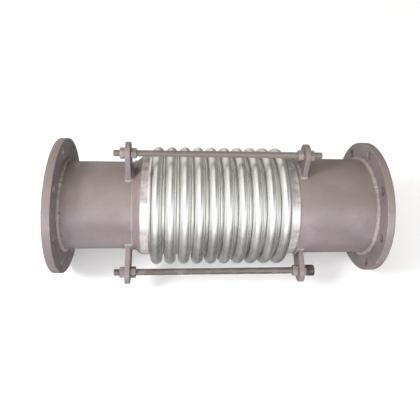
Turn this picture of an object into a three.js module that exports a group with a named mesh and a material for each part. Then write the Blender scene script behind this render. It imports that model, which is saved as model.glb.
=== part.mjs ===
// Flanged metal bellows expansion joint, DN200 class, with three tie rods.
// Millimetres. +X runs along the pipe from the inlet to the outlet, +Z is up, and the joint lies on
// the rims of its two flanges, so the pipe axis is one flange radius above the floor.
import * as THREE from 'three';

// Shared
const SIDES = 36; // flats round every large coaxial piece; one flat faces straight down
const CLEARANCE = 0.3; // between neighbouring pieces

// Flanges
const FLANGE_R = 167.5;
const FLANGE_T = 19;
const FACE_TO_FACE = 800;
const BOLT_COUNT = 8;
const BOLT_CIRCLE_R = 146;
const BOLT_HOLE_R = 11;
const BOLT_HOLE_SIDES = 20;
const FIRST_BOLT_DEG = 32.4; // of the first hole, from +Y towards +Z

// Pipes
const WALL = 6;
const INLET_PIPE_R = 109.5;
const OUTLET_PIPE_R = 122.5;
const PIPE_SETBACK = 5; // of the pipe's end behind the flange face
const INLET_PIPE_END_X = -182;
const OUTLET_PIPE_END_X = 170;

// Transition ring, which steps the inlet pipe up to the bellows cuff
const RING_X = [-212, -208, -203, -198, -194, -172];
const RING_R = [111.5, 113.5, 118.0, 121.6, 122.5, 122.5];

// Bellows
const CONVOLUTIONS = 10;
const PITCH = 33.8;
const BELLOWS_START_X = -172;
const CREST_R = 148.5;
const CREST_ARC_R = 14.2;
const ROOT_R = 124.3;
const ROOT_ARC_R = PITCH / 2 - CREST_ARC_R;
const SHEET = 1.5;
const CUFF = 20;

// Flow sleeve, fixed to the inlet pipe and free inside the outlet pipe
const SLEEVE_R = 101.5;
const SLEEVE_WALL = 2.5;
const SLEEVE_HALF = 215;
const SLEEVE_FLARE = 9;

// Lugs
const LUG_T = 12;
const LUG_HALF_W = 27;
const LUG_INLET_X = -222;
const LUG_OUTLET_X = 203;
const LUG_HOLE_R = 9;

// Tie rods and nuts
const ROD_CIRCLE_R = 168;
const ROD_R = 8;
const ROD_SIDES = 20;
const NUT_FLAT_R = 12;
const NUT_BORE_R = 8.4;
const NUT_T = 13;
const THIN_NUT_T = 8;
const LOCK_NUT_T = 20;
const STATIONS = [
  { name: 'top', deg: 90, from: -256, to: 243, thin: false },
  { name: 'front', deg: 210, from: -255, to: 237, thin: true },
  { name: 'back', deg: 330, from: -256, to: 243, thin: false },
];

const part = new THREE.Group();

// Adds a solid, moving it from the pipe axis to its height above the floor.
function add(name, geometry, colour) {
  geometry.translate(0, 0, FLANGE_R);
  const material = new THREE.MeshStandardMaterial({ color: colour, metalness: 0.4, roughness: 0.5 });
  const mesh = new THREE.Mesh(geometry, material);
  mesh.name = name;
  part.add(mesh);
}

// Polygon round the origin whose flats lie at the stated radius, the first one facing -Y.
function polygon(radius, sides) {
  const corner = radius / Math.cos(Math.PI / sides);
  return Array.from({ length: sides }, (_, i) => {
    const a = -Math.PI / 2 + ((i + 0.5) * 2 * Math.PI) / sides;
    return new THREE.Vector2(corner * Math.cos(a), corner * Math.sin(a));
  });
}

// Turns a closed profile of [x, radius] points, listed with x rising on the outside and falling on the
// inside, round the pipe axis. Its flats lie at the stated radii.
function turned(profile) {
  const widen = 1 / Math.cos(Math.PI / SIDES);
  const points = [...profile, profile[0]].map(([x, r]) => new THREE.Vector2(r * widen, x));
  const lathe = new THREE.LatheGeometry(points, SIDES, Math.PI / SIDES);
  lathe.rotateZ(-Math.PI / 2);
  return lathe;
}

// Plate in the YZ plane, from x to x + thickness. The shape's X becomes Y and its Y becomes Z.
function plate(shape, x, thickness) {
  const solid = new THREE.ExtrudeGeometry(shape, { depth: thickness, bevelEnabled: false });
  solid.rotateY(Math.PI / 2);
  solid.rotateX(Math.PI / 2);
  solid.translate(x, 0, 0);
  return solid;
}

const tube = (from, to, outer, inner) => turned([[from, outer], [to, outer], [to, inner], [from, inner]]);
const hole = (points) => new THREE.Path(points);
const shifted = (points, dx, dy) => points.map((p) => new THREE.Vector2(p.x + dx, p.y + dy));
const polar = (r, deg) => [r * Math.cos((deg * Math.PI) / 180), r * Math.sin((deg * Math.PI) / 180)];

function flange(x, boreR) {
  const shape = new THREE.Shape(polygon(FLANGE_R, SIDES));
  shape.holes.push(hole(polygon(boreR, SIDES)));
  for (let i = 0; i < BOLT_COUNT; i += 1) {
    const at = polar(BOLT_CIRCLE_R, FIRST_BOLT_DEG + (i * 360) / BOLT_COUNT);
    shape.holes.push(hole(shifted(polygon(BOLT_HOLE_R, BOLT_HOLE_SIDES), ...at)));
  }
  return plate(shape, x, FLANGE_T);
}

// Outer line of the corrugated wall, or with a positive inset the line that far inside the metal.
function corrugation(inset) {
  const line = [];
  const crestCentre = CREST_R - CREST_ARC_R;
  const rootCentre = ROOT_R + ROOT_ARC_R;
  const crest = CREST_ARC_R - inset;
  const root = ROOT_ARC_R + inset;
  for (let i = 0; i < CONVOLUTIONS; i += 1) {
    const middle = BELLOWS_START_X + (i + 0.5) * PITCH;
    for (const deg of [175, 130, 90, 50, 5]) {
      const [dx, dr] = polar(crest, deg);
      line.push([middle + dx, crestCentre + dr]);
    }
    if (i === CONVOLUTIONS - 1) break;
    for (const deg of [210, 330]) {
      const [dx, dr] = polar(root, deg);
      line.push([middle + PITCH / 2 + dx, rootCentre + dr]);
    }
  }
  return line;
}

function bellows() {
  const end = BELLOWS_START_X + CONVOLUTIONS * PITCH;
  const inner = ROOT_R - SHEET;
  const outside = [
    [BELLOWS_START_X - CUFF, ROOT_R], [BELLOWS_START_X, ROOT_R],
    ...corrugation(0),
    [end, ROOT_R], [end + CUFF, ROOT_R],
  ];
  const inside = [
    [BELLOWS_START_X - CUFF, inner], [BELLOWS_START_X + SHEET, inner],
    ...corrugation(SHEET),
    [end - SHEET, inner], [end + CUFF, inner],
  ];
  return turned([...outside, ...inside.reverse()]);
}

function transitionRing() {
  const bore = INLET_PIPE_R + CLEARANCE;
  const outside = RING_X.map((x, i) => [x, RING_R[i]]);
  return turned([...outside, [RING_X.at(-1), bore], [RING_X[0], bore]]);
}

// Thin tube flared at the inlet end until it meets the inlet pipe's bore.
function flowSleeve() {
  const rise = INLET_PIPE_R - WALL - CLEARANCE - SLEEVE_R;
  const from = -SLEEVE_HALF;
  const bore = SLEEVE_R - SLEEVE_WALL;
  return turned([
    [from, SLEEVE_R + rise], [from + SLEEVE_FLARE, SLEEVE_R + rise], [from + 2 * SLEEVE_FLARE, SLEEVE_R],
    [SLEEVE_HALF, SLEEVE_R], [SLEEVE_HALF, bore],
    [from + 2 * SLEEVE_FLARE, bore], [from + SLEEVE_FLARE, bore + rise], [from, bore + rise],
  ]);
}

// Radial ear with a full-round tip about the rod hole and a foot that follows the pipe.
function lug(x, deg, pipeR) {
  const footR = (pipeR + CLEARANCE) / Math.cos(Math.PI / SIDES);
  const footDeg = (Math.asin(LUG_HALF_W / footR) * 180) / Math.PI;
  const outline = [];
  for (let i = 0; i <= 12; i += 1) {
    const [y, z] = polar(LUG_HALF_W, (i * 180) / 12);
    outline.push(new THREE.Vector2(y, ROD_CIRCLE_R + z));
  }
  for (let i = 0; i <= 8; i += 1) {
    outline.push(new THREE.Vector2(...polar(footR, 90 + footDeg * (1 - i / 4))));
  }
  const shape = new THREE.Shape(outline);
  shape.holes.push(hole(shifted(polygon(LUG_HOLE_R, ROD_SIDES), 0, ROD_CIRCLE_R)));
  const solid = plate(shape, x - LUG_T / 2, LUG_T);
  solid.rotateX(((deg - 90) * Math.PI) / 180);
  return solid;
}

function onRodCircle(solid, deg) {
  const [y, z] = polar(ROD_CIRCLE_R, deg);
  solid.translate(0, y, z);
  return solid;
}

const rod = (deg, from, to) =>
  onRodCircle(plate(new THREE.Shape(polygon(ROD_R, ROD_SIDES)), from, to - from), deg);

function nut(deg, x, thickness) {
  const shape = new THREE.Shape(polygon(NUT_FLAT_R, 6));
  shape.holes.push(hole(polygon(NUT_BORE_R, ROD_SIDES)));
  return onRodCircle(plate(shape, x, thickness), deg);
}

const PAINT = 0x8f8386;
const STAINLESS = 0xc4c5c0;
const STEEL = 0x77706c;

const half = FACE_TO_FACE / 2;
add('inlet_flange', flange(-half, INLET_PIPE_R + CLEARANCE), PAINT);
add('outlet_flange', flange(half - FLANGE_T, OUTLET_PIPE_R + CLEARANCE), PAINT);
add('inlet_pipe', tube(-half + PIPE_SETBACK, INLET_PIPE_END_X, INLET_PIPE_R, INLET_PIPE_R - WALL), PAINT);
add('outlet_pipe', tube(OUTLET_PIPE_END_X, half - PIPE_SETBACK, OUTLET_PIPE_R, OUTLET_PIPE_R - WALL), PAINT);
add('transition_ring', transitionRing(), PAINT);
add('bellows', bellows(), STAINLESS);
add('flow_sleeve', flowSleeve(), STAINLESS);

for (const { name, deg, from, to, thin } of STATIONS) {
  const outerT = thin ? THIN_NUT_T : NUT_T;
  const reach = LUG_T / 2 + CLEARANCE;
  add(`${name}_inlet_lug`, lug(LUG_INLET_X, deg, INLET_PIPE_R), PAINT);
  add(`${name}_outlet_lug`, lug(LUG_OUTLET_X, deg, OUTLET_PIPE_R), PAINT);
  add(`${name}_tie_rod`, rod(deg, from, to), STEEL);
  add(`${name}_inlet_outer_nut`, nut(deg, LUG_INLET_X - reach - NUT_T, NUT_T), STEEL);
  add(`${name}_inlet_inner_nut`, nut(deg, LUG_INLET_X + reach, NUT_T), STEEL);
  add(`${name}_outlet_inner_nut`, nut(deg, LUG_OUTLET_X - reach - NUT_T, NUT_T), STEEL);
  add(`${name}_outlet_outer_nut`, nut(deg, LUG_OUTLET_X + reach, outerT), STEEL);
  if (thin) {
    const x = LUG_OUTLET_X + reach + outerT + CLEARANCE;
    add(`${name}_outlet_lock_nut`, nut(deg, x, LOCK_NUT_T), STEEL);
  }
}

export default part;
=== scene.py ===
"""Flanged metal bellows expansion joint: the looks. Metres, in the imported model's frame."""

import math

import bmesh
import bpy
import numpy as np
from mathutils import Matrix, Vector, noise


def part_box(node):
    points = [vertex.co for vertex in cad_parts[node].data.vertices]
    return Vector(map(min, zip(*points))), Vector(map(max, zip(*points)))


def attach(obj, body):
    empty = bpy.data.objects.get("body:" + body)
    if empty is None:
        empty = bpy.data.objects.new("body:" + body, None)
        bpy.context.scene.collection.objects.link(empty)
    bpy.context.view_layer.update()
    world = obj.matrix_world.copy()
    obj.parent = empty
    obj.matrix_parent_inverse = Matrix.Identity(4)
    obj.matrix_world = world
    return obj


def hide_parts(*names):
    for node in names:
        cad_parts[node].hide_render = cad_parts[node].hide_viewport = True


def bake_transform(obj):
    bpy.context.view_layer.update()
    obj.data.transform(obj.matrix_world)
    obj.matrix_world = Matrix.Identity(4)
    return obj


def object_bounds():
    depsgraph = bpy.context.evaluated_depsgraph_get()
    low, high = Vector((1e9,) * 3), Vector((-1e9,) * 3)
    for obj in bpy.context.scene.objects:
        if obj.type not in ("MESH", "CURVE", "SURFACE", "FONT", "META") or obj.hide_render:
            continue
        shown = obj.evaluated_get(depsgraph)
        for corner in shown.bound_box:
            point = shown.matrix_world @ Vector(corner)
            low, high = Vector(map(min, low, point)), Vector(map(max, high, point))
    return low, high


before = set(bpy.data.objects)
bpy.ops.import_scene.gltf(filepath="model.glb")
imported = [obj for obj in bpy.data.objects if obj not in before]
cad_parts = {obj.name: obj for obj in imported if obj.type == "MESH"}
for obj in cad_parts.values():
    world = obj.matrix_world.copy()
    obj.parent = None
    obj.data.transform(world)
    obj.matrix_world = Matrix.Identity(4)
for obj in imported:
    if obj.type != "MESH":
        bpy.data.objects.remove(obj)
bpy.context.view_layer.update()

MM = 0.001
TAU = 2 * math.pi


def mid(node):
    lo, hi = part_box(node)
    return (Vector(lo) + Vector(hi)) / 2


def span_x(node):
    lo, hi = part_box(node)
    return lo[0], hi[0]


def height(node):
    lo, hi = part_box(node)
    return hi[2] - lo[2]


AXIS_Z = mid("inlet_flange").z
FLANGE_R = height("inlet_flange") / 2
INLET_R = height("inlet_pipe") / 2
OUTLET_R = height("outlet_pipe") / 2
REST_X = "rest_x"  # mesh attribute of the bellows
CONVOLUTIONS, PITCH, CUFF = 10, 33.8 * MM, 20 * MM
CLEARANCE = 0.3 * MM  # between a pipe and the piece round it
SHARP_DEG = 32  # edges sharper than this are shaded as edges
STATIONS = {name: mid(f"{name}_tie_rod") for name in ("top", "front", "back")}


# ---------------------------------------------------------------- mesh helpers

def shade(mesh, sharp_deg=SHARP_DEG):
    for p in mesh.polygons:
        p.use_smooth = True
    mesh.set_sharp_from_angle(angle=math.radians(sharp_deg))


def face_outward(mesh):
    bm = bmesh.new()
    bm.from_mesh(mesh)
    bmesh.ops.recalc_face_normals(bm, faces=bm.faces)
    bm.to_mesh(mesh)
    bm.free()


def add_object(name, mesh, sharp_deg=SHARP_DEG):
    shade(mesh, sharp_deg)
    obj = bpy.data.objects.new(name, mesh)
    bpy.context.scene.collection.objects.link(obj)
    return obj


def grid_mesh(name, points):
    """Mesh over an array [n, m, 3] that closes on itself both ways."""
    n, m, _ = points.shape
    i, j = np.meshgrid(np.arange(n), np.arange(m), indexing="ij")
    a, b = i * m + j, i * m + (j + 1) % m
    c, d = ((i + 1) % n) * m + (j + 1) % m, ((i + 1) % n) * m + j
    faces = np.stack([a, b, c, d], -1).reshape(-1, 4)
    mesh = bpy.data.meshes.new(name)
    mesh.from_pydata(points.reshape(-1, 3).tolist(), [], faces.tolist())
    mesh.update()
    face_outward(mesh)
    return mesh


def rounded(profile, radius, steps=3):
    """Closed profile of (x, r) with each corner replaced by an arc."""
    pts = [Vector(p) for p in profile]
    out = []
    for k, p in enumerate(pts):
        before, after = pts[k - 1], pts[(k + 1) % len(pts)]
        u, v = (before - p), (after - p)
        cut = min(radius, u.length * 0.45, v.length * 0.45)
        a, b = p + u.normalized() * cut, p + v.normalized() * cut
        for s in range(steps + 1):
            t = s / steps
            out.append(tuple(a * (1 - t) ** 2 + p * 2 * t * (1 - t) + b * t * t))
    return out


def turned(name, profile, steps, centre=None, sharp_deg=SHARP_DEG):
    """Turns a closed profile of (x, r), or a function of the angle giving one, about an axis along X."""
    centre = centre or Vector((0, 0, AXIS_Z))
    rows = []
    for k in range(steps):
        a = TAU * k / steps
        section = profile(a) if callable(profile) else profile
        y, z = math.cos(a), math.sin(a)
        rows.append([(x, centre.y + r * y, centre.z + r * z) for x, r in section])
    return add_object(name, grid_mesh(name, np.array(rows)), sharp_deg)


def cut(obj, cutters):
    """Subtracts the cutters, then removes them."""
    for c in cutters:
        m = obj.modifiers.new("cut", "BOOLEAN")
        m.operation, m.solver, m.object = "DIFFERENCE", "EXACT", c
    dg = bpy.context.evaluated_depsgraph_get()
    mesh = bpy.data.meshes.new_from_object(obj.evaluated_get(dg))
    obj.modifiers.clear()
    old, obj.data = obj.data, mesh
    bpy.data.meshes.remove(old)
    for c in cutters:
        bpy.data.objects.remove(c)
    shade(obj.data)


def drill(name, centre, x0, x1, r, chamfer, steps=48):
    """Cutter for a hole through a plate from x0 to x1, opened out at both faces."""
    m = 2 * chamfer
    profile = [
        (x0 - m, r + chamfer + m), (x0 + chamfer, r), (x1 - chamfer, r), (x1 + m, r + chamfer + m),
        (x1 + m, 0.0001), (x0 - m, 0.0001),
    ]
    return turned(name, profile, steps, centre)


# ---------------------------------------------------------------- materials

class Nodes:
    """Short forms for building a node tree."""

    def __init__(self, tree):
        self.tree = tree
        tree.nodes.clear()

    def new(self, kind, inputs=None, **props):
        node = self.tree.nodes.new(kind)
        for k, v in props.items():
            setattr(node, k, v)
        for k, v in (inputs or {}).items():
            socket = node.inputs[k]
            if isinstance(v, bpy.types.NodeSocket):
                self.tree.links.new(v, socket)
            else:
                socket.default_value = v
        return node

    def noise(self, vector, scale, detail=3.0, rough=0.5):
        return self.new("ShaderNodeTexNoise", {
            "Vector": vector, "Scale": scale, "Detail": detail, "Roughness": rough}).outputs["Fac"]

    def ramp(self, value, low, high, to_low=0.0, to_high=1.0):
        return self.new("ShaderNodeMapRange", {
            "Value": value, "From Min": low, "From Max": high, "To Min": to_low, "To Max": to_high},
            interpolation_type="SMOOTHSTEP").outputs["Result"]

    def math(self, op, a, b=0.0):
        return self.new("ShaderNodeMath", {0: a, 1: b}, operation=op).outputs[0]

    def mix(self, fac, a, b):
        return self.new("ShaderNodeMix", {0: fac, 6: a, 7: b}, data_type="RGBA").outputs[2]

    def bump(self, height, distance, strength=1.0, normal=None):
        inputs = {"Height": height, "Distance": distance, "Strength": strength}
        if normal:
            inputs["Normal"] = normal
        return self.new("ShaderNodeBump", inputs).outputs["Normal"]


def rgb(r, g, b):
    return (r, g, b, 1.0)


def material(name):
    m = bpy.data.materials.new(name)
    m.use_nodes = True
    t = Nodes(m.node_tree)
    bsdf = t.new("ShaderNodeBsdfPrincipled")
    out = t.new("ShaderNodeOutputMaterial")
    m.node_tree.links.new(bsdf.outputs[0], out.inputs["Surface"])
    return m, t, bsdf


def link(m, output, socket):
    m.node_tree.links.new(output, socket)


def edge_mask(t, radius):
    """1 along convex and concave edges, 0 on flat surfaces."""
    soft = t.new("ShaderNodeBevel", {"Radius": radius}, samples=4).outputs["Normal"]
    hard = t.new("ShaderNodeNewGeometry").outputs["Normal"]
    dot = t.new("ShaderNodeVectorMath", {0: soft, 1: hard}, operation="DOT_PRODUCT").outputs["Value"]
    return t.ramp(dot, 0.995, 0.93)


# The first colour is dust on upward faces of the paint; its warm brown is also painted shade, standing
# in for the dim warm light from above.
DUST_AND_TOP_SHADE, WORN_EDGE = (0.215, 0.163, 0.137), (0.52, 0.47, 0.44)  # on the paint
# The second colour is a mauve coat on the cuffs, left bare only where the front light's highlight falls,
# as a painted highlight.
WATER_STAIN, CUFF_MAUVE = (0.56, 0.52, 0.46), (0.29, 0.245, 0.25)  # on the stainless
GRIME, BARE_EDGE = (0.13, 0.115, 0.1), (0.6, 0.57, 0.53)  # on the rods and nuts


def paint_material(name, base, deep, rough=0.36, bead=False):
    """Satin primer over steel: mottled, faintly orange-peeled, dusty on top with a warm brown there that
    is also painted shade from the dim light above, worn on its edges.
    """
    m, t, bsdf = material(name)
    at = t.new("ShaderNodeTexCoord").outputs["Object"]
    cloud = t.noise(at, 9.0, 4.0, 0.6)
    fine = t.noise(at, 160.0, 5.0, 0.65)
    colour = t.mix(t.ramp(cloud, 0.38, 0.64), rgb(*deep), rgb(*base))
    streak = t.ramp(fine, 0.35, 0.75, 0.0, 0.22)
    colour = t.mix(streak, colour, rgb(*[c * 0.72 for c in deep]))
    normal = t.new("ShaderNodeNewGeometry").outputs["Normal"]
    up = t.new("ShaderNodeSeparateXYZ", {0: normal}).outputs["Z"]
    # Dust on upward faces, mixed with painted shade: the top is tinted warm brown as the dim light from
    # above would make it.
    dust_and_top_shade = t.math("MULTIPLY", t.ramp(up, 0.25, 0.95), t.ramp(cloud, 0.2, 0.7, 0.25, 0.6))
    colour = t.mix(dust_and_top_shade, colour, rgb(*DUST_AND_TOP_SHADE))
    chipped = t.ramp(t.noise(at, 75.0, 6.0, 0.7), 0.5, 0.62)
    wear = t.math("MULTIPLY", edge_mask(t, 1.6 * MM), chipped)
    colour = t.mix(t.math("MULTIPLY", wear, 0.75), colour, rgb(*WORN_EDGE))
    link(m, colour, bsdf.inputs["Base Color"])
    shine = t.ramp(t.noise(at, 28.0, 4.0, 0.6), 0.3, 0.7, rough - 0.06, rough + 0.1)
    link(m, t.math("ADD", shine, t.math("MULTIPLY", dust_and_top_shade, 0.16)), bsdf.inputs["Roughness"])
    peel = t.bump(t.noise(at, 700.0, 2.0, 0.5), (0.1 if bead else 0.06) * MM)
    waves = t.bump(t.noise(at, 42.0, 3.0, 0.5), 0.4 * MM, 0.5, peel)
    link(m, waves, bsdf.inputs["Normal"])
    bsdf.inputs["Coat Weight"].default_value = 0.32
    bsdf.inputs["Coat Roughness"].default_value = 0.22
    return m


def cuff_coat_mask(t, at, axial, front):
    """Mauve coat on the bellows cuffs, left off in a patch that faces up and forward, where the front
    light's highlight falls: the bright bare patch placed there is a painted highlight.

    front is 1 straight toward the middle of the bare patch and falls off round the axis.
    """
    x0, x1 = span_x("bellows")
    first, last = x0 + CUFF, x1 - CUFF
    near, full = 1 * MM, 4 * MM  # past the convolutions
    inlet_cuff = t.ramp(axial, first - near, first - full)
    outlet_cuff = t.ramp(axial, last + near, last + full)
    on_cuff = t.math("MAXIMUM", inlet_cuff, outlet_cuff)
    wobble = t.math("SUBTRACT", t.noise(at, 60.0, 5.0, 0.7), 0.5)
    ragged = t.math("ADD", front, t.math("MULTIPLY", wobble, 0.03))
    painted = t.ramp(ragged, 0.985, 0.960)
    thin = t.ramp(t.noise(at, 45.0, 5.0, 0.65), 0.35, 0.6, 0.55, 1.0)
    return t.math("MULTIPLY", on_cuff, t.math("MULTIPLY", painted, thin))


# The cuffs' bare patch is turned toward where the front light's highlight falls, as a painted highlight.
HIGHLIGHT_PATCH_TILT = math.radians(31)  # of the cuffs' bare patch, above the horizontal


def stainless_material(name, base, rough, coated_cuffs=False):
    """Bright formed sheet with faint lines round the axis, which smear its reflections that way."""
    m, t, bsdf = material(name)
    at = t.new("ShaderNodeTexCoord").outputs["Object"]
    s = t.new("ShaderNodeSeparateXYZ", {0: at})
    axial = s.outputs["X"]
    if coated_cuffs:  # the sheet stretches, so its finish follows where each point lies at rest
        rest = t.new("ShaderNodeAttribute", attribute_name=REST_X, attribute_type="GEOMETRY")
        axial = rest.outputs["Fac"]
        at = t.new("ShaderNodeCombineXYZ", {
            "X": axial, "Y": s.outputs["Y"], "Z": s.outputs["Z"]}).outputs[0]
    y, z = s.outputs["Y"], t.math("SUBTRACT", s.outputs["Z"], AXIS_Z)
    r = t.math("SQRT", t.math("ADD", t.math("MULTIPLY", y, y), t.math("MULTIPLY", z, z)))
    around = t.new("ShaderNodeCombineXYZ", {"X": axial, "Y": r}).outputs[0]
    cloud = t.noise(at, 14.0, 4.0, 0.6)
    lines = t.noise(around, 900.0, 2.0, 0.6)
    colour = t.mix(t.ramp(cloud, 0.35, 0.68), rgb(*[c * 0.9 for c in base]), rgb(*base))
    stain = t.ramp(t.noise(at, 55.0, 6.0, 0.7), 0.58, 0.75, 0.0, 0.25)
    colour = t.mix(stain, colour, rgb(*WATER_STAIN))
    shine = t.ramp(t.math("ADD", t.math("MULTIPLY", lines, 0.5), t.math("MULTIPLY", cloud, 0.5)),
                   0.35, 0.65, rough - 0.05, rough + 0.07)
    bsdf.inputs["Metallic"].default_value = 1.0
    if coated_cuffs:
        # Painted highlight: bare metal only in the patch facing the front light's highlight, mauve coat
        # elsewhere on the cuffs.
        forward = t.math("MULTIPLY", y, -math.cos(HIGHLIGHT_PATCH_TILT))
        front = t.math("ADD", forward, t.math("MULTIPLY", z, math.sin(HIGHLIGHT_PATCH_TILT)))
        paint = cuff_coat_mask(t, at, axial, t.math("DIVIDE", front, r))
        colour = t.mix(paint, colour, rgb(*CUFF_MAUVE))
        shine = t.math("MAXIMUM", shine, t.math("MULTIPLY", paint, 0.42))
        link(m, t.math("SUBTRACT", 1.0, paint), bsdf.inputs["Metallic"])
    link(m, colour, bsdf.inputs["Base Color"])
    link(m, shine, bsdf.inputs["Roughness"])
    bsdf.inputs["Anisotropic"].default_value = 0.9
    tangent = t.new("ShaderNodeTangent", direction_type="RADIAL", axis="X").outputs[0]
    link(m, tangent, bsdf.inputs["Tangent"])
    dents = t.bump(t.noise(at, 30.0, 3.0, 0.5), 0.5 * MM, 0.35)
    link(m, t.bump(lines, 0.03 * MM, 0.6, dents), bsdf.inputs["Normal"])
    return m


def hardware_material(name, steel, painted, amount):
    """Plain steel with primer left on it, amount from 0, bare, to 1, covered."""
    m, t, bsdf = material(name)
    at = t.new("ShaderNodeTexCoord").outputs["Object"]
    patches = t.noise(at, 46.0, 6.0, 0.72)
    cover = t.ramp(patches, 0.62 - 0.3 * amount, 0.70 - 0.3 * amount)
    worn = edge_mask(t, 0.9 * MM)
    kept = t.math("SUBTRACT", 1.0, t.math("MULTIPLY", worn, 0.8))
    cover = t.math("MULTIPLY", cover, kept)
    grime = t.ramp(t.noise(at, 210.0, 5.0, 0.7), 0.4, 0.75, 0.0, 0.55)
    metal = t.mix(grime, rgb(*steel), rgb(*GRIME))
    metal = t.mix(t.math("MULTIPLY", worn, 0.6), metal, rgb(*BARE_EDGE))
    link(m, t.mix(cover, metal, rgb(*painted)), bsdf.inputs["Base Color"])
    link(m, t.ramp(cover, 0.0, 1.0, 0.85, 0.0), bsdf.inputs["Metallic"])
    shine = t.ramp(t.noise(at, 120.0, 4.0, 0.6), 0.3, 0.7, 0.32, 0.5)
    link(m, shine, bsdf.inputs["Roughness"])
    link(m, t.bump(t.noise(at, 480.0, 4.0, 0.6), 0.08 * MM), bsdf.inputs["Normal"])
    return m


def floor_material():
    m, t, bsdf = material("floor")
    at = t.new("ShaderNodeTexCoord").outputs["Object"]
    tone = t.ramp(t.noise(at, 2.5, 3.0, 0.5), 0.3, 0.7)
    link(m, t.mix(tone, rgb(0.90, 0.90, 0.895), rgb(0.92, 0.92, 0.92)), bsdf.inputs["Base Color"])
    link(m, t.ramp(t.noise(at, 40.0, 3.0, 0.5), 0.3, 0.7, 0.75, 0.85), bsdf.inputs["Roughness"])
    bsdf.inputs["Specular IOR Level"].default_value = 0.2
    bsdf.inputs["Emission Color"].default_value = rgb(1.0, 1.0, 1.0)
    bsdf.inputs["Emission Strength"].default_value = 0.18
    return m


PAINT = paint_material("primer_paint", (0.196, 0.161, 0.171), (0.152, 0.122, 0.128))
WELD = paint_material(
    "painted_weld", (0.30, 0.252, 0.258), (0.21, 0.172, 0.176), rough=0.3, bead=True)
STAINLESS = stainless_material("stainless", (0.93, 0.92, 0.90), 0.29, coated_cuffs=True)
LINER = stainless_material("liner_stainless", (0.62, 0.61, 0.59), 0.3)
STEEL = (0.29, 0.265, 0.24)
MAUVE = (0.215, 0.175, 0.178)  # primer on the fasteners
ROD_STEEL = {
    "top": hardware_material("top_rod_steel", STEEL, (0.185, 0.150, 0.130), 0.85),
    "front": hardware_material("front_rod_steel", STEEL, MAUVE, 0.38),
    "back": hardware_material("back_rod_steel", STEEL, MAUVE, 0.5),
}
NUT_STEEL = hardware_material("nut_steel", (0.36, 0.335, 0.31), MAUVE, 0.72)
LOCK_STEEL = hardware_material(
    "lock_nut_steel", (0.13, 0.11, 0.108), (0.12, 0.10, 0.10), 0.3)


def finish_piece(obj, mat, slot, body, *nodes):
    """Gives a piece its material, hides the CAD nodes it stands for and hangs it on the body it rides
    on. Its slot is not used.
    """
    obj.data.materials.clear()
    obj.data.materials.append(mat)
    if nodes:
        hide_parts(*nodes)
    if body:
        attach(obj, body)
    return obj


# ---------------------------------------------------------------- turned pieces

BODY_OF = {"inlet": "inlet_end", "outlet": "outlet_end"}
BOLTS, BOLT_R, FIRST_BOLT = 8, 11 * MM, math.radians(32.4)
BOLT_CIRCLE = 146 * MM
FLANGE_EDGE, BOLT_CHAMFER = 1.3 * MM, 0.8 * MM
WALL, PIPE_EDGE = 6 * MM, 0.9 * MM
RING_FOOT, RING_FLARE = 2.2 * MM, 19 * MM  # the ring's thin edge, and the length of its flare
SLEEVE_R, SLEEVE_WALL = 101.5 * MM, 2.5 * MM
SLEEVE_MOUTH, SLEEVE_TAPER = 8, 11  # lengths of the flare's straight and tapered parts, in mm


def make_flange(end, pipe_r):
    node = f"{end}_flange"
    x0, x1 = span_x(node)
    bore = pipe_r + CLEARANCE
    ring = rounded([(x0, bore), (x0, FLANGE_R), (x1, FLANGE_R), (x1, bore)], FLANGE_EDGE)
    obj = turned(f"{node}_plate", ring, 240)
    holes = []
    for k in range(BOLTS):
        a = FIRST_BOLT + TAU * k / BOLTS
        at = Vector((0, BOLT_CIRCLE * math.cos(a), AXIS_Z + BOLT_CIRCLE * math.sin(a)))
        holes.append(drill(f"{node}_drill_{k}", at, x0, x1, BOLT_R, BOLT_CHAMFER))
    cut(obj, holes)
    return finish_piece(obj, PAINT, "primer_paint", BODY_OF[end], node)


def make_pipe(end, pipe_r):
    node = f"{end}_pipe"
    x0, x1 = span_x(node)
    inner = pipe_r - WALL
    profile = rounded([(x0, inner), (x0, pipe_r), (x1, pipe_r), (x1, inner)], PIPE_EDGE)
    obj = turned(f"{node}_tube", profile, 224)
    return finish_piece(obj, PAINT, "primer_paint", BODY_OF[end], node)


def ease(t):
    """Smooth step from 0 to 1."""
    return t * t * (3 - 2 * t)


def make_ring():
    """Transition ring: an S-shaped flare from the inlet pipe up to the bellows cuff."""
    x0, x1 = span_x("transition_ring")
    bore, foot, top = INLET_R + CLEARANCE, INLET_R + RING_FOOT, height("transition_ring") / 2
    flare_end = x0 + RING_FLARE
    steps = 20
    outside = []
    for k in range(steps + 1):
        t = k / steps
        outside.append((x0 + (flare_end - x0) * t, foot + (top - foot) * ease(t)))
    profile = [(x0, bore), *outside, (x1, top), (x1, bore)]
    obj = turned("transition_ring_flare", profile, 224)
    return finish_piece(obj, PAINT, "primer_paint", "inlet_end", "transition_ring")


def make_sleeve():
    """Thin liner, flared at its inlet end until it meets the pipe's bore."""
    x0, x1 = span_x("flow_sleeve")
    big, small, wall = height("flow_sleeve") / 2, SLEEVE_R, SLEEVE_WALL
    steps = 12
    outer, inner = [], []
    for k in range(steps + 1):
        t = k / steps
        x = x0 + (SLEEVE_MOUTH + SLEEVE_TAPER * t) * MM
        r = small + (big - small) * (1 - ease(t))
        outer.append((x, r))
        inner.append((x, r - wall))
    outside = [(x0, big - wall), (x0, big), *outer, (x1, small)]
    profile = [*outside, (x1, small - wall), *reversed(inner)]
    obj = turned("flow_sleeve_liner", profile, 192)
    return finish_piece(obj, LINER, "stainless", "inlet_end", "flow_sleeve")


CREST_R, CREST_ARC, ROOT_R = 148.5 * MM, 14.2 * MM, 124.3 * MM
SHEET = 1.2 * MM
ARC_STEP = 15  # degrees between points at the roots; half that at the crests


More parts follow.
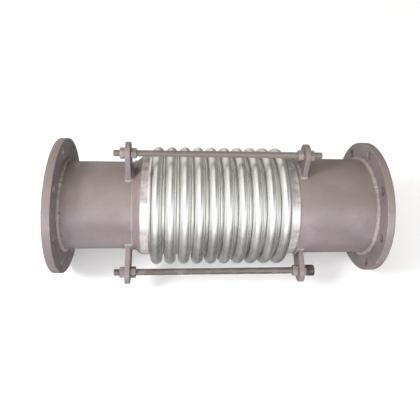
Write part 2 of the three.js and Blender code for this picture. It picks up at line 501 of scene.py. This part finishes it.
def corrugated(x_first, inset):
    """Line of the formed sheet over all convolutions, or with an inset the line that far inside it."""
    root_arc = PITCH / 2 - CREST_ARC
    crest_mid, root_mid = CREST_R - CREST_ARC, ROOT_R + root_arc
    crest, root = CREST_ARC - inset, root_arc + inset
    line = []
    for i in range(CONVOLUTIONS):
        c = x_first + (i + 0.5) * PITCH
        if i == 0:  # half a root leads in from the cuff
            for s in range(7):
                a = math.radians(ARC_STEP * s)
                line.append((c - PITCH / 2 + root * math.sin(a), root_mid - root * math.cos(a)))
        for s in range(25):
            a = math.radians(180 - ARC_STEP / 2 * s)
            line.append((c + crest * math.cos(a), crest_mid + crest * math.sin(a)))
        last = i == CONVOLUTIONS - 1  # half a root leads out
        for s in range(1, 7 if last else 12):
            a = math.radians(ARC_STEP * s - 90)
            line.append((c + PITCH / 2 + root * math.sin(a), root_mid - root * math.cos(a)))
    return line


def make_bellows():
    x0, x1 = span_x("bellows")
    first = x0 + CUFF
    inner = ROOT_R - SHEET
    outside = [(x0, ROOT_R), *corrugated(first, 0), (x1, ROOT_R)]
    inside = [(x0, inner), *corrugated(first, SHEET), (x1, inner)]
    obj = turned("bellows_convolutions", [*outside, *reversed(inside)], 192, sharp_deg=50)
    rest_x = obj.data.attributes.new(REST_X, "FLOAT", "POINT")
    for point, vertex in zip(rest_x.data, obj.data.vertices):
        point.value = vertex.co.x
    finish_piece(obj, STAINLESS, "stainless", None, "bellows")
    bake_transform(obj)
    return obj


make_flange("inlet", INLET_R)
make_flange("outlet", OUTLET_R)
make_pipe("inlet", INLET_R)
make_pipe("outlet", OUTLET_R)
make_ring()
make_sleeve()
make_bellows()


# ---------------------------------------------------------------- lugs

LUG_HALF_W, LUG_HOLE_R = 27 * MM, 9 * MM
LUG_FOOT_GAP, LUG_EDGE, LUG_CHAMFER = 0.2 * MM, 1.1 * MM, 0.7 * MM


def make_lug(end, station, pipe_r):
    """Plate ear cut from flat bar: round tip about the rod hole, foot fitted to the pipe."""
    node = f"{station}_{end}_lug"
    x0, x1 = span_x(node)
    at = STATIONS[station] - Vector((0, 0, AXIS_Z))
    reach = math.hypot(at.y, at.z)
    out = Vector((0, at.y, at.z)).normalized()
    side = Vector((0, out.z, -out.y))
    outline = []
    tip_steps, foot_steps = 32, 16
    for k in range(tip_steps + 1):
        a = math.pi * k / tip_steps
        outline.append((LUG_HALF_W * math.cos(a), reach + LUG_HALF_W * math.sin(a)))
    foot = math.asin(LUG_HALF_W / pipe_r)
    for k in range(foot_steps + 1):
        a = -foot + 2 * foot * k / foot_steps
        outline.append((pipe_r * math.sin(a), (pipe_r + LUG_FOOT_GAP) * math.cos(a)))
    bm = bmesh.new()
    axis = Vector((0, 0, AXIS_Z))
    loop = [bm.verts.new(axis + Vector((x0, 0, 0)) + side * u + out * v) for u, v in outline]
    face = bm.faces.new(loop)
    extruded = bmesh.ops.extrude_face_region(bm, geom=[face])["geom"]
    far = [g for g in extruded if isinstance(g, bmesh.types.BMVert)]
    bmesh.ops.translate(bm, vec=(x1 - x0, 0, 0), verts=far)
    bmesh.ops.recalc_face_normals(bm, faces=bm.faces)
    rim = [e for e in bm.edges if abs(e.verts[0].co.x - e.verts[1].co.x) < 1e-7]
    bmesh.ops.bevel(bm, geom=rim, offset=LUG_EDGE, segments=3, profile=0.5, affect="EDGES")
    mesh = bpy.data.meshes.new(node)
    bm.to_mesh(mesh)
    bm.free()
    obj = add_object(f"{node}_plate", mesh)
    centre = Vector((0, STATIONS[station].y, STATIONS[station].z))
    cut(obj, [drill(f"{node}_drill", centre, x0, x1, LUG_HOLE_R, LUG_CHAMFER)])
    return finish_piece(obj, PAINT, "primer_paint", BODY_OF[end], node)


for station in STATIONS:
    make_lug("inlet", station, INLET_R)
    make_lug("outlet", station, OUTLET_R)


# ---------------------------------------------------------------- rods and nuts

THREAD = 2.0 * MM
ROD_R = height("top_tie_rod") / 2
ROD_CORE = ROD_R - 1.2 * MM
ROD_END = ROD_R - 1.9 * MM  # the rod's radius at its very end
NUT_HOLE = ROD_R + 0.05 * MM
NUT_SINK, NUT_EDGE = 0.9 * MM, 0.35 * MM
NUT_FACE, NUT_CORNER = 0.965, 1.135  # of the face and the turned corners, over the flats


def make_rod(station):
    """Fully threaded rod: one helical ridge at the true pitch, with chamfered ends."""
    node = f"{station}_tie_rod"
    x0, x1 = span_x(node)
    centre = STATIONS[station]
    sides, per_turn = 32, 6
    n = int((x1 - x0) / THREAD * per_turn)
    xs = np.linspace(x0, x1, n + 1)
    angle = np.arange(sides) / sides * TAU
    X, A = np.meshgrid(xs, angle, indexing="ij")
    phase = (X / THREAD - A / TAU) % 1.0
    ridge = np.clip(1.25 - 2.5 * np.abs(phase - 0.5), 0, 1)
    radius = ROD_CORE + (ROD_R - ROD_CORE) * ridge
    end = np.minimum(X - x0, x1 - X)
    radius = np.minimum(radius, ROD_END + end)
    Y, Z = centre.y + radius * np.cos(A), centre.z + radius * np.sin(A)
    pts = np.stack([X, Y, Z], -1).reshape(-1, 3)
    i, j = np.meshgrid(np.arange(n), np.arange(sides), indexing="ij")
    a, b = i * sides + j, i * sides + (j + 1) % sides
    faces = np.stack([a, b, b + sides, a + sides], -1).reshape(-1, 4).tolist()
    faces += [list(range(sides))[::-1], [n * sides + k for k in range(sides)]]
    mesh = bpy.data.meshes.new(node)
    mesh.from_pydata(pts.tolist(), [], faces)
    face_outward(mesh)
    obj = add_object(f"{node}_thread", mesh, 60)
    return finish_piece(obj, ROD_STEEL[station], "hardware_steel", "inlet_end", node)


def make_nut(node, body, turn_deg, mat, centre):
    """Hexagon nut with both faces turned down to a cone at the corners and a countersunk hole."""
    x0, x1 = span_x(node)
    flat_r = height(node) / 2
    face_r, sink = flat_r * NUT_FACE, NUT_SINK
    turn = math.radians(turn_deg)

    def section(a):
        off = (a - turn) % (TAU / 6) - TAU / 12
        r = min(flat_r / math.cos(off), flat_r * NUT_CORNER)
        drop = (r - face_r) * math.tan(math.radians(30))
        return [
            (x0, NUT_HOLE + sink), (x0, face_r), (x0 + drop, r), (x1 - drop, r), (x1, face_r),
            (x1, NUT_HOLE + sink), (x1 - sink, NUT_HOLE), (x0 + sink, NUT_HOLE),
        ]

    obj = turned(f"{node}_hex", section, 144, centre, sharp_deg=24)
    bevel = obj.modifiers.new("soften", "BEVEL")
    bevel.width, bevel.segments, bevel.limit_method = NUT_EDGE, 2, "ANGLE"
    bevel.angle_limit = math.radians(28)
    return finish_piece(obj, mat, "hardware_steel", body, node)


# Degrees by which each nut is turned, so that no two flats line up.
TURNS = {
    "inlet_outer": 0, "inlet_inner": 17, "outlet_inner": 8, "outlet_outer": 26, "outlet_lock": 11,
}
TURN_PER_STATION = 13
for k, station in enumerate(STATIONS):
    make_rod(station)
    for place, turn in TURNS.items():
        node = f"{station}_{place}_nut"
        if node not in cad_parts:
            continue
        body = "inlet_end" if place.startswith("inlet") else f"{station}_outlet_nuts"
        steel = LOCK_STEEL if place == "outlet_lock" else NUT_STEEL
        make_nut(node, body, turn + TURN_PER_STATION * k, steel, STATIONS[station])


# ---------------------------------------------------------------- welds

def make_bead(name, path, size, body, step=1.0 * MM, sides=12, ripple=3.4 * MM):
    """Weld bead along a closed path of points; size is its radius. Rippled, and a little uneven."""
    pts = [Vector(p) for p in path]
    lengths = [(pts[(k + 1) % len(pts)] - p).length for k, p in enumerate(pts)]
    total = sum(lengths)
    count = int(total / step)
    ripples = round(total / ripple)
    k, gone, centres = 0, 0.0, []
    for n in range(count):
        walk = total * n / count
        while gone + lengths[k] < walk:
            gone += lengths[k]
            k += 1
        t = (walk - gone) / lengths[k]
        centres.append(pts[k].lerp(pts[(k + 1) % len(pts)], t))
    rows = []
    for n, c in enumerate(centres):
        ahead = (centres[(n + 1) % count] - centres[n - 1]).normalized()
        outward = Vector((0, c.y, c.z - AXIS_Z)).normalized()
        u = outward - ahead * outward.dot(ahead)
        u.normalize()
        v = ahead.cross(u)
        wander = 1 + 0.3 * noise.noise(c * 90.0) + 0.2 * noise.noise(c * 320.0)
        row = []
        for s in range(sides):
            a = TAU * s / sides
            lag = 0.55 * math.cos(a)
            wave = math.sin(TAU * ripples * n / count + lag * 2.4)
            r = size * wander * (1 + 0.075 * wave)
            row.append(c + (u * math.cos(a) + v * math.sin(a)) * r)
        rows.append([tuple(p) for p in row])
    obj = add_object(name, grid_mesh(name, np.array(rows)), 80)
    return finish_piece(obj, WELD, "primer_paint", body)


def ring_path(x, r, steps=360):
    """Circle of points round the pipe axis."""
    angles = [TAU * k / steps for k in range(steps)]
    return [(x, r * math.cos(a), AXIS_Z + r * math.sin(a)) for a in angles]


def foot_path(end, station, pipe_r):
    """Round the foot of a lug, on the pipe."""
    x0, x1 = span_x(f"{station}_{end}_lug")
    at = STATIONS[station]
    middle = math.atan2(at.z - AXIS_Z, at.y)
    half = math.asin(LUG_HALF_W / pipe_r)
    corners = [(x0, -half), (x1, -half), (x1, half), (x0, half)]
    path = []
    steps = 12  # along each side
    for k, (xa, a) in enumerate(corners):
        xb, b = corners[(k + 1) % len(corners)]
        for s in range(steps):
            t = s / steps
            x, w = xa + (xb - xa) * t, middle + a + (b - a) * t
            path.append((x, pipe_r * math.cos(w), AXIS_Z + pipe_r * math.sin(w)))
    return path


def make_ring_bead(name, x, r, size, end, **how):
    make_bead(name, ring_path(x, r), size, BODY_OF[end], **how)


FINE_RIPPLE = 2 * MM
INLET_FLANGE_BACK, OUTLET_FLANGE_BACK = span_x("inlet_flange")[1], span_x("outlet_flange")[0]
INLET_MOUTH, OUTLET_MOUTH = span_x("inlet_pipe")[0], span_x("outlet_pipe")[1]
CUFF_START, CUFF_END = span_x("bellows")

make_ring_bead("inlet_flange_weld", INLET_FLANGE_BACK + 0.6 * MM, INLET_R + 0.6 * MM, 6.0 * MM, "inlet")
make_ring_bead("outlet_flange_weld", OUTLET_FLANGE_BACK - 0.6 * MM, OUTLET_R + 0.6 * MM, 6.5 * MM,
               "outlet", ripple=2.6 * MM)
make_ring_bead("inlet_bore_weld", INLET_MOUTH - 0.2 * MM, INLET_R - 0.6 * MM, 2.9 * MM, "inlet")
make_ring_bead("outlet_bore_weld", OUTLET_MOUTH + 0.2 * MM, OUTLET_R - 0.6 * MM, 2.9 * MM, "outlet")
make_ring_bead("ring_weld", span_x("transition_ring")[0], INLET_R + 1.0 * MM, 2.2 * MM, "inlet")
make_ring_bead("inlet_cuff_weld", CUFF_START - 0.2 * MM, ROOT_R - 1.0 * MM, 1.3 * MM, "inlet",
               ripple=FINE_RIPPLE)
make_ring_bead("outlet_cuff_weld", CUFF_END + 0.2 * MM, ROOT_R - 1.0 * MM, 1.3 * MM, "outlet",
               ripple=FINE_RIPPLE)

LUG_WELD, LUG_WELD_STEP = 3.6 * MM, 0.7 * MM
for station in STATIONS:
    for end, pipe_r in (("inlet", INLET_R), ("outlet", OUTLET_R)):
        path = foot_path(end, station, pipe_r)
        make_bead(f"{station}_{end}_lug_weld", path, LUG_WELD, BODY_OF[end], step=LUG_WELD_STEP)


# ---------------------------------------------------------------- stage, light and camera

FLOOR_HALF, FLOOR_GAP = 60.0, 0.2 * MM  # half its width, and how far below the part it lies


def make_floor():
    mesh = bpy.data.meshes.new("floor")
    s = FLOOR_HALF
    mesh.from_pydata([(-s, -s, 0), (s, -s, 0), (s, s, 0), (-s, s, 0)], [], [(0, 1, 2, 3)])
    obj = bpy.data.objects.new("floor", mesh)
    bpy.context.scene.collection.objects.link(obj)
    mesh.materials.append(floor_material())
    obj.location.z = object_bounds()[0].z - FLOOR_GAP
    obj.visible_glossy = False


def area_light(name, location, target, size, size_y, power, colour):
    data = bpy.data.lights.new(name, "AREA")
    data.shape, data.size, data.size_y = "RECTANGLE", size, size_y
    data.energy, data.color = power, colour
    obj = bpy.data.objects.new(name, data)
    bpy.context.scene.collection.objects.link(obj)
    obj.location = location
    obj.rotation_euler = (Vector(target) - Vector(location)).to_track_quat("-Z", "Y").to_euler()
    return obj


def lobe(t, at, toward, low, high, power):
    """Soft patch of light in the world, brightest toward the given direction."""
    direction = Vector(toward).normalized()
    dot = t.new("ShaderNodeVectorMath", {0: at, 1: direction}, operation="DOT_PRODUCT").outputs["Value"]
    return t.ramp(dot, low, high, 0.0, power)


WHITE, WARM = (0.97, 0.985, 1.0), (1.0, 0.90, 0.80)
# Patches of light in the world that the stainless reflects: direction, cosines at which each starts
# and is full, power, and colour.
LOBES = [
    ((-0.86, -0.40, 0.32), 0.70, 0.97, 0.9, WHITE),
    ((0.80, -0.50, 0.33), 0.86, 0.97, 0.95, WHITE),
    ((-0.20, -0.93, 0.26), 0.86, 0.99, 1.7, WHITE),
    ((-0.22, -0.50, 0.84), 0.84, 0.99, 0.95, WHITE),
    ((0.36, -0.88, 0.24), 0.88, 0.99, 1.7, WHITE),
    ((-0.15, 0.80, 0.58), 0.45, 0.95, 0.22, WARM),
]
WORLD_STRENGTH = 0.86


def make_lights():
    """Soft light from the upper left and the front, and a world for the reflections.

    The area lights are hidden from reflections.
    """
    centre = (0, 0, AXIS_Z)
    lights = [
        area_light("key", (-2.3, -1.2, 2.1), centre, 0.7, 0.7, 66, (1.0, 0.975, 0.955)),
        area_light("front", (0.1, -3.1, 0.45), centre, 2.0, 0.7, 60, (0.97, 0.97, 1.0)),
    ]
    for light in lights:
        light.visible_glossy = False
    world = bpy.data.worlds.new("studio")
    bpy.context.scene.world = world
    world.use_nodes = True
    t = Nodes(world.node_tree)
    at = t.new("ShaderNodeTexCoord").outputs["Generated"]
    way = t.new("ShaderNodeSeparateXYZ", {0: at})
    up, along = way.outputs["Z"], way.outputs["X"]
    sky = t.mix(t.ramp(up, 0.0, 0.8), rgb(0.78, 0.80, 0.82), rgb(0.80, 0.78, 0.74))
    ground = t.mix(t.ramp(up, 0.0, -0.6), rgb(0.63, 0.63, 0.63), rgb(0.34, 0.34, 0.34))
    colour = t.mix(t.ramp(up, -0.05, 0.05), ground, sky)
    # Darker toward both ends, so that the convolutions' flanks read dark beside their crests.
    colour = t.mix(t.ramp(along, -0.15, 0.4, 0.0, 0.86), colour, rgb(0.16, 0.155, 0.15))
    colour = t.mix(t.ramp(along, -0.5, -0.75, 0.0, 0.6), colour, rgb(0.26, 0.24, 0.22))
    for toward, low, high, power, tint in LOBES:
        patch = lobe(t, at, toward, low, high, power)
        colour = t.new("ShaderNodeMix", {0: patch, 6: colour, 7: rgb(*tint)},
                       data_type="RGBA", blend_type="ADD", clamp_factor=False).outputs[2]
    back = t.new("ShaderNodeBackground", {"Color": colour, "Strength": WORLD_STRENGTH})
    out = t.new("ShaderNodeOutputWorld")
    world.node_tree.links.new(back.outputs[0], out.inputs["Surface"])


LENS, SENSOR = 38.11, 36.0  # mm
SHIFT_X, SHIFT_Y = -0.015, -0.1667  # the part stands above the middle of the picture
LOOK_DOWN = math.radians(45.2)  # elevation of the camera as seen from the pipe's axis
CAMERA_X, CAMERA_D = -0.1154, 1.1676  # along the axis, and distance from it
YAW, PITCH_DOWN, ROLL = math.radians(-5.45), math.radians(-8.26), math.radians(0.15)


def make_camera():
    data = bpy.data.cameras.new("camera")
    data.lens, data.sensor_width = LENS, SENSOR
    data.shift_x, data.shift_y = SHIFT_X, SHIFT_Y
    data.clip_start, data.clip_end = 0.02, 60
    cam = bpy.data.objects.new("camera", data)
    bpy.context.scene.collection.objects.link(cam)
    s, c = math.sin(LOOK_DOWN), math.cos(LOOK_DOWN)
    image_up, to_camera = Vector((0, s, c)), Vector((0, -c, s))
    turn = Matrix.Rotation(ROLL, 3, "Z")
    turn = turn @ Matrix.Rotation(PITCH_DOWN, 3, "X") @ Matrix.Rotation(YAW, 3, "Y")
    basis = Matrix((Vector((1, 0, 0)), -image_up, -to_camera)).transposed()
    right, down, ahead = (basis @ row for row in turn)
    place = Vector((CAMERA_X, 0, AXIS_Z)) + to_camera * CAMERA_D
    m = Matrix((right, -down, -ahead)).transposed().to_4x4()
    m.translation = place
    cam.matrix_world = m
    bpy.context.scene.camera = cam


make_floor()
make_lights()
make_camera()
bpy.context.scene.view_settings.view_transform = "Standard"
